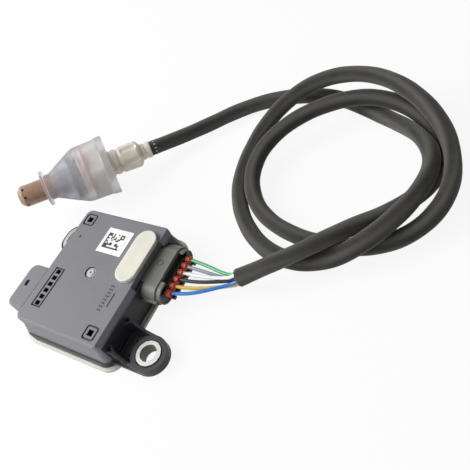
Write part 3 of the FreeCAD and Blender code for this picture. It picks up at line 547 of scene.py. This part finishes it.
# Braided sleeve
# Tube of fine black-brown braid over the six loose wires, from the ferrule to a cut end near the plug.
# It is slack, so it is a little oval, and the wires inside show as soft ridges that wind along it; the
# hollows between the ridges carry painted shade and the ridges painted highlight.
# The ferrule and the stitches hold it at the probe, and it opens slightly at the cut end.
sleeve_radius = 3.45 * MM
sleeve_sides = 40
sleeve_wall = 0.5 * MM
sleeve_open = 9.0 * MM
sleeve_flare = 0.07
flare_length = 9.0 * MM
settle_lengths = (25 * MM, 12 * MM)
oval_share = 0.04
oval_phase = 0.35
oval_turn = 9.0
slack_waves = ((0.012, 410.0, 2), (0.01, 190.0, -1))
ridge_share = 0.04
ridge_count = 4
ridge_turn = 35.0
ridge_wander = (1.5, 21.0)
ring_step = 0.8 * MM
sleeve_station = 51.8
sleeve_lead = 24.5


def probe_point(station):
    """Point on the probe's axis, at a station in millimetres."""
    return probe_from + probe_axis * station * MM


sleeve_route = [probe_point(sleeve_station), probe_point(sleeve_station + sleeve_lead)] + [
    Vector(p)
    for p in (
        (0.0134, 0.1093, 0.0042),
        (0.0353, 0.1205, 0.0041),
        (0.0599, 0.1216, 0.0040),
        (0.0835, 0.1117, 0.0045),
        (0.1035, 0.0996, 0.0097),
        (0.1143, 0.0847, 0.0125),
        (0.1137, 0.0653, 0.0144),
        (0.1038, 0.0454, 0.0127),
        (0.0883, 0.0339, 0.0069),
        (0.0679, 0.0324, 0.0041),
        (0.0479, 0.0431, 0.0035),
        (0.0336, 0.0620, 0.0035),
        (0.0305, 0.0859, 0.0058),
        (0.0371, 0.1080, 0.0109),
        (0.0527, 0.1219, 0.0151),
        (0.0745, 0.1247, 0.0173),
        (0.0975, 0.1147, 0.0178),
        (0.1166, 0.0962, 0.0153),
        (0.1242, 0.0751, 0.0123),
        (0.1189, 0.0575, 0.0079),
        (0.1023, 0.0458, 0.0039),
        (0.0767, 0.0424, 0.0050),
        (0.0529, 0.0493, 0.0053),
        (0.0395, 0.0654, 0.0072),
        (0.0389, 0.0846, 0.0100),
        (0.0521, 0.1034, 0.0126),
        (0.0742, 0.1148, 0.0136),
        (0.0949, 0.1146, 0.0099),
        (0.1101, 0.1033, 0.0052),
        (0.1158, 0.0857, 0.0043),
        (0.1082, 0.0647, 0.0074),
        (0.0926, 0.0456, 0.0137),
        (0.0771, 0.0284, 0.0143),
        (0.0592, 0.0190, 0.0077),
    )
]


def smooth_curve(name, points, radius=0.0):
    """Curve object with one smooth spline that has the given points as its control points."""
    data = bpy.data.curves.new(name, "CURVE")
    data.dimensions = "3D"
    data.resolution_u = 16
    data.bevel_depth = radius
    data.bevel_resolution = 8
    data.use_fill_caps = True
    spline = data.splines.new("NURBS")
    spline.points.add(len(points) - 1)
    for point, place in zip(spline.points, points):
        point.co = (*place, 1.0)
    spline.order_u = 3
    spline.use_endpoint_u = True
    made = bpy.data.objects.new(name, data)
    bpy.context.collection.objects.link(made)
    return made


def read_line(points):
    """Points of the smooth line through a route."""
    guide = smooth_curve("guide", points)
    bpy.context.view_layer.update()
    mesh = bpy.data.meshes.new_from_object(guide)
    line = [v.co.copy() for v in mesh.vertices]
    bpy.data.meshes.remove(mesh)
    bpy.data.objects.remove(guide)
    return line


def evenly(line, step):
    """Points about a step apart along a line, both ends kept, and the line's length."""
    lengths = [0.0]
    for a, b in zip(line, line[1:]):
        lengths.append(lengths[-1] + (b - a).length)
    count = round(lengths[-1] / step)
    out = []
    i = 0
    for k in range(count + 1):
        at = lengths[-1] * k / count
        while i < len(line) - 2 and lengths[i + 1] < at:
            i += 1
        share = (at - lengths[i]) / (lengths[i + 1] - lengths[i])
        out.append(line[i].lerp(line[i + 1], share))
    return out, lengths[-1]


def frames_along(line):
    """Two cross directions at each point, carried along without twist."""
    tangents = [(b - a).normalized() for a, b in zip(line, line[1:])]
    tangents.append(tangents[-1])
    side = tangents[0].cross(Vector((0, 0, 1))).normalized()
    out = []
    for before, tangent in zip([tangents[0]] + tangents, tangents):
        side = before.rotation_difference(tangent) @ side
        side = (side - tangent * side.dot(tangent)).normalized()
        out.append((side, tangent.cross(side)))
    return out


sleeve_line, sleeve_length = evenly(read_line(sleeve_route), ring_step)
sleeve_frames = frames_along(sleeve_line)
ring_step = sleeve_length / (len(sleeve_line) - 1)


def sleeve_surface(i, angle, inset=0.0):
    """Point of the slack braid at a ring and an angle."""
    along = i * ring_step
    left = sleeve_length - along
    settle = min(1.0, along / settle_lengths[0], left / settle_lengths[1])
    bulge = oval_share * math.cos(2 * (angle - oval_phase - along * oval_turn))
    bulge += sum(share * math.sin(along * rate + turns * angle) for share, rate, turns in slack_waves)
    ridge_angle = along * ridge_turn - ridge_wander[0] * math.sin(along * ridge_wander[1])
    bulge += ridge_share * math.cos(ridge_count * angle - ridge_angle)
    flare = sleeve_flare * max(0.0, 1.0 - left / flare_length) ** 2
    radius = sleeve_radius * (1.0 + settle * bulge + flare) - inset
    side, up = sleeve_frames[i]
    return sleeve_line[i] + (side * math.cos(angle) + up * math.sin(angle)) * radius


mesh = bmesh.new()
braid_uv = mesh.loops.layers.uv.new("UVMap")
last_ring = len(sleeve_line) - 1
stations = [(i, 0.0) for i in range(last_ring + 1)]
stations += [(last_ring - i, sleeve_wall) for i in range(int(sleeve_open / ring_step))]
angles = [2 * math.pi * k / sleeve_sides for k in range(sleeve_sides)]
rings = [[mesh.verts.new(sleeve_surface(i, angle, inset)) for angle in angles] for i, inset in stations]
around = 2 * math.pi * sleeve_radius
for j, (a, b) in enumerate(zip(rings, rings[1:])):
    for k in range(sleeve_sides):
        n = (k + 1) % sleeve_sides
        face = mesh.faces.new((a[k], a[n], b[n], b[k]))
        face.smooth = True
        for loop, step, turn_share in zip(face.loops, (j, j, j + 1, j + 1), (k, k + 1, k + 1, k)):
            loop[braid_uv].uv = (step * ring_step / MM, turn_share / sleeve_sides * around / MM)
mesh.faces.new(rings[0][::-1])
mesh.faces.new(rings[-1])
sleeve_mesh = bpy.data.meshes.new("braided_sleeve")
mesh.to_mesh(sleeve_mesh)
mesh.free()
sleeve = bpy.data.objects.new("braided_sleeve", sleeve_mesh)
bpy.context.collection.objects.link(sleeve)

strands = 18
braid_slope = 0.9
ridge_limits = (-0.8, 0.9)
strand_pitch = strands / (around / MM)
sleeve_made, tree, shader = material("sleeve_braid")
weave = tree.add("SeparateXYZ", {0: tree.add("TexCoord").outputs["UV"]}).outputs
along = tree.math("MULTIPLY", weave["X"], braid_slope)
forward = tree.math("MULTIPLY", tree.math("ADD", along, weave["Y"]), strand_pitch)
reverse = tree.math("MULTIPLY", tree.math("SUBTRACT", along, weave["Y"]), strand_pitch)


def strand(value):
    """Rounded height of one set of parallel strands."""
    return tree.math("SQRT", tree.math("MULTIPLY", tree.math("PINGPONG", value, 0.5), 2.0))


crossings = tree.math("ADD", tree.math("FLOOR", forward), tree.math("FLOOR", reverse))
over = tree.math("PINGPONG", crossings, 1.0)
under = tree.math("SUBTRACT", 1.0, over)
height = tree.math(
    "ADD", tree.math("MULTIPLY", strand(forward), over), tree.math("MULTIPLY", strand(reverse), under)
)
spot = tree.place()
fuzz = tree.noise(spot, 3600.0, 3.0, 0.7)
worn = tree.ramp(tree.noise(spot, 70.0, 3.0, 0.6), 0.3, 0.7, 0.35, 0.75)
# Painted shade: the low parts of the weave, between the strands, are darker than the strand tops.
fibre = tree.mix(height, linear(22, 22, 20), linear(76, 75, 70))
fibre = tree.mix(tree.math("MULTIPLY", fuzz, 0.5), fibre, linear(92, 90, 84))
wander = tree.math("SINE", tree.math("MULTIPLY", weave["X"], ridge_wander[1] * MM))
wander = tree.math("MULTIPLY", wander, ridge_wander[0])
ridge_angle = tree.math("SUBTRACT", tree.math("MULTIPLY", weave["X"], ridge_turn * MM), wander)
round_angle = tree.math("MULTIPLY", weave["Y"], ridge_count * MM / sleeve_radius)
# Painted light: the hollows between the ridges are painted darker and the ridges paler.
ridge_light_mask = tree.ramp(tree.math("COSINE", tree.math("SUBTRACT", round_angle, ridge_angle)), *ridge_limits)
shaded_hollow_braid = tree.mix(worn, fibre, linear(28, 27, 25))
lit_ridge_braid = tree.mix(worn, fibre, linear(82, 81, 75))
relief = tree.math("ADD", tree.math("MULTIPLY", height, 0.7), tree.math("MULTIPLY", fuzz, 0.6))
tree.connect(
    shader,
    Base_Color=tree.mix(ridge_light_mask, shaded_hollow_braid, lit_ridge_braid),
    Roughness=0.8,
    Normal=tree.bump(relief, 0.45, 0.22 * MM),
    Sheen_Weight=0.3,
    Sheen_Roughness=0.4,
    Specular_IOR_Level=0.2,
)
sleeve_mesh.materials.append(sleeve_made)
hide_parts("cable_sleeve")
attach(sleeve, "root")

# Stitches
# White sewing thread round the sleeve just behind the ferrule.
# It shows as a ring of short bowed stitches, sunk a little into the braid.
stitch_count = 12
stitch_place = 2.2 * MM
stitch_half = 0.5 * MM
stitch_radius = 0.22 * MM
stitch_sink = 0.1 * MM
stitch_rise = 0.16 * MM
stitch_taper = 0.5
stitch_sides = 8
stitch_steps = 6
mesh = bmesh.new()
seat = round(stitch_place / ring_step)
forth = (sleeve_line[seat + 1] - sleeve_line[seat]).normalized()
for i in range(stitch_count):
    angle = 2 * math.pi * i / stitch_count
    foot = sleeve_surface(seat, angle)
    out = (foot - sleeve_line[seat]).normalized()
    side = forth.cross(out)
    before = None
    for step in range(stitch_steps + 1):
        share = 2 * step / stitch_steps - 1
        middle = foot + forth * share * stitch_half + out * (stitch_rise * (1 - share**2) - stitch_sink)
        thick = stitch_radius * (1 - stitch_taper * share**4)
        ring = []
        for k in range(stitch_sides):
            swing = 2 * math.pi * k / stitch_sides
            ring.append(mesh.verts.new(middle + (side * math.cos(swing) + out * math.sin(swing)) * thick))
        if before:
            for k in range(stitch_sides):
                n = (k + 1) % stitch_sides
                mesh.faces.new((before[k], before[n], ring[n], ring[k])).smooth = True
        else:
            mesh.faces.new(ring[::-1])
        before = ring
    mesh.faces.new(before)
stitch_mesh = bpy.data.meshes.new("sleeve_stitches")
bmesh.ops.recalc_face_normals(mesh, faces=mesh.faces)
mesh.to_mesh(stitch_mesh)
mesh.free()
stitches = bpy.data.objects.new("sleeve_stitches", stitch_mesh)
bpy.context.collection.objects.link(stitches)
thread_made, tree, shader = material("stitch_thread")
twist = tree.noise(tree.place(), 5200.0, 3.0, 0.7)
tree.connect(
    shader,
    Base_Color=tree.mix(twist, linear(196, 196, 190), linear(238, 238, 234)),
    Roughness=0.7,
    Normal=tree.bump(twist, 0.4, 0.06 * MM),
)
stitch_mesh.materials.append(thread_made)
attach(stitches, "root")

# Wires
# Six thin wires of stranded copper in coloured plastic, crimped in the plug's terminals.
# They run from their seals into the sleeve's cut end, one in the middle and five round it.
wire_radius = 0.75 * MM
wire_pitch = 3.3 * MM
wire_middle = Vector((0, 12.7, 7.8)) * MM
wire_start = 30.0 * MM
wire_bend = 39.45 * MM
bundle_radius = 2.2 * MM
bundle_lead = 4.5 * MM
tucked = 5.0 * MM
sleeve_end = sleeve_route[-1]
outward = (sleeve_route[-1] - sleeve_route[-2]).normalized()
across = outward.cross(Vector((0, 0, 1))).normalized()
above = across.cross(outward).normalized()
wires = {
    "green": (18, linear(92, 176, 120)),
    "grey": (306, linear(158, 160, 176)),
    "white": (90, linear(232, 233, 236)),
    "black": (None, linear(34, 33, 33)),
    "yellow": (234, linear(230, 190, 86)),
    "blue": (162, linear(36, 118, 200)),
}
for i, (colour, (angle, paint)) in enumerate(wires.items()):
    offset = Vector((0, 0, 0))
    if angle is not None:
        turn_angle = math.radians(angle)
        offset = (across * math.cos(turn_angle) + above * math.sin(turn_angle)) * bundle_radius
    last = sleeve_end + offset
    row = wire_middle + Vector((0, wire_pitch * ((len(wires) - 1) / 2 - i), 0))
    points = [
        row + Vector((wire_start, 0, 0)),
        row + Vector((wire_bend, 0, 0)),
        last + outward * bundle_lead,
        last,
        last - outward * tucked,
    ]
    wire = smooth_curve("insulated_wire_" + colour, points, wire_radius)
    made = plastic("wire_" + colour, paint, 0.32, bump=0.05, edge=0.1 * MM, edge_share=0.0, dust=0.05, scale=0.8)
    wire.data.materials.append(made)
    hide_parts("wire_" + colour)
    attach(wire, "root")
    evenly(read_line(points), ring_step)[1]

# Floor and light
# Plain white table, lit softly from above, with a broad lamp on the upper left and a small one in front.
# The sky is dimmer on the right.
# Seen straight, in a reflection or through the cap, table and sky are white.
floor_half = 3.0
floor_colour = (0.68, 0.68, 0.68, 1.0)
white = (1, 1, 1, 1)
self_lit_strength = 1.02
self_lit_share = 0.88
sides = ((-1, -1), (1, -1), (1, 1), (-1, 1))
floor_mesh = bpy.data.meshes.new("floor")
floor_mesh.from_pydata([(x * floor_half, y * floor_half, 0) for x, y in sides], [], [(0, 1, 2, 3)])
floor = bpy.data.objects.new("floor", floor_mesh)
bpy.context.collection.objects.link(floor)
floor_made, tree, shader = material("floor")
tree.connect(shader, Base_Color=floor_colour, Roughness=0.9, Specular_IOR_Level=0.0)
self_lit = tree.add("Emission", {"Color": white, "Strength": self_lit_strength})


def seen_directly(tree):
    """1 where the eye meets a surface straight, in a reflection or through the clear cap."""
    path = tree.add("LightPath").outputs
    mirrored = tree.math("MAXIMUM", path["Is Glossy Ray"], path["Is Transmission Ray"])
    return tree.math("MAXIMUM", path["Is Camera Ray"], mirrored)


lit_share = tree.math("MULTIPLY", seen_directly(tree), self_lit_share)
blend = tree.add("MixShader", {0: lit_share, 1: shader.outputs[0], 2: self_lit.outputs[0]})
tree.feed(floor_made.node_tree.nodes["Material Output"].inputs["Surface"], blend.outputs[0])
floor_mesh.materials.append(floor_made)

world = bpy.data.worlds.new("studio")
world.use_nodes = True
bpy.context.scene.world = world
sky = Tree(world.node_tree)
ray = sky.add("TexCoord").outputs["Generated"]
bright_side = (-0.57, -0.44, 0.69)
bright_reach = (0.05, 0.85)
sky_strength = 0.7
share = sky.add("VectorMath", {0: ray, 1: bright_side}, operation="DOT_PRODUCT").outputs["Value"]
tone = sky.mix(sky.ramp(share, *bright_reach), linear(46, 48, 54), white)
seen = seen_directly(sky)
sky.connect(
    world.node_tree.nodes["Background"],
    Color=sky.mix(seen, tone, white),
    Strength=sky.ramp(seen, 0.0, 1.0, sky_strength, 1.0),
)

lamp_target = Vector((0.02, 0.04, 0.0))
for name, place, size, energy in (
    ("broad_lamp", Vector((-0.55, -0.2, 0.6)), 0.6, 7.6),
    ("front_lamp", Vector((-0.16, -0.6, 0.22)), 0.4, 1.1),
):
    lamp_data = bpy.data.lights.new(name, "AREA")
    lamp_data.shape = "SQUARE"
    lamp_data.size = size
    lamp_data.energy = energy
    lamp = bpy.data.objects.new(name, lamp_data)
    bpy.context.collection.objects.link(lamp)
    lamp.location = place
    lamp.rotation_euler = (lamp_target - place).to_track_quat("-Z", "Y").to_euler()

bpy.context.scene.view_settings.view_transform = "Standard"
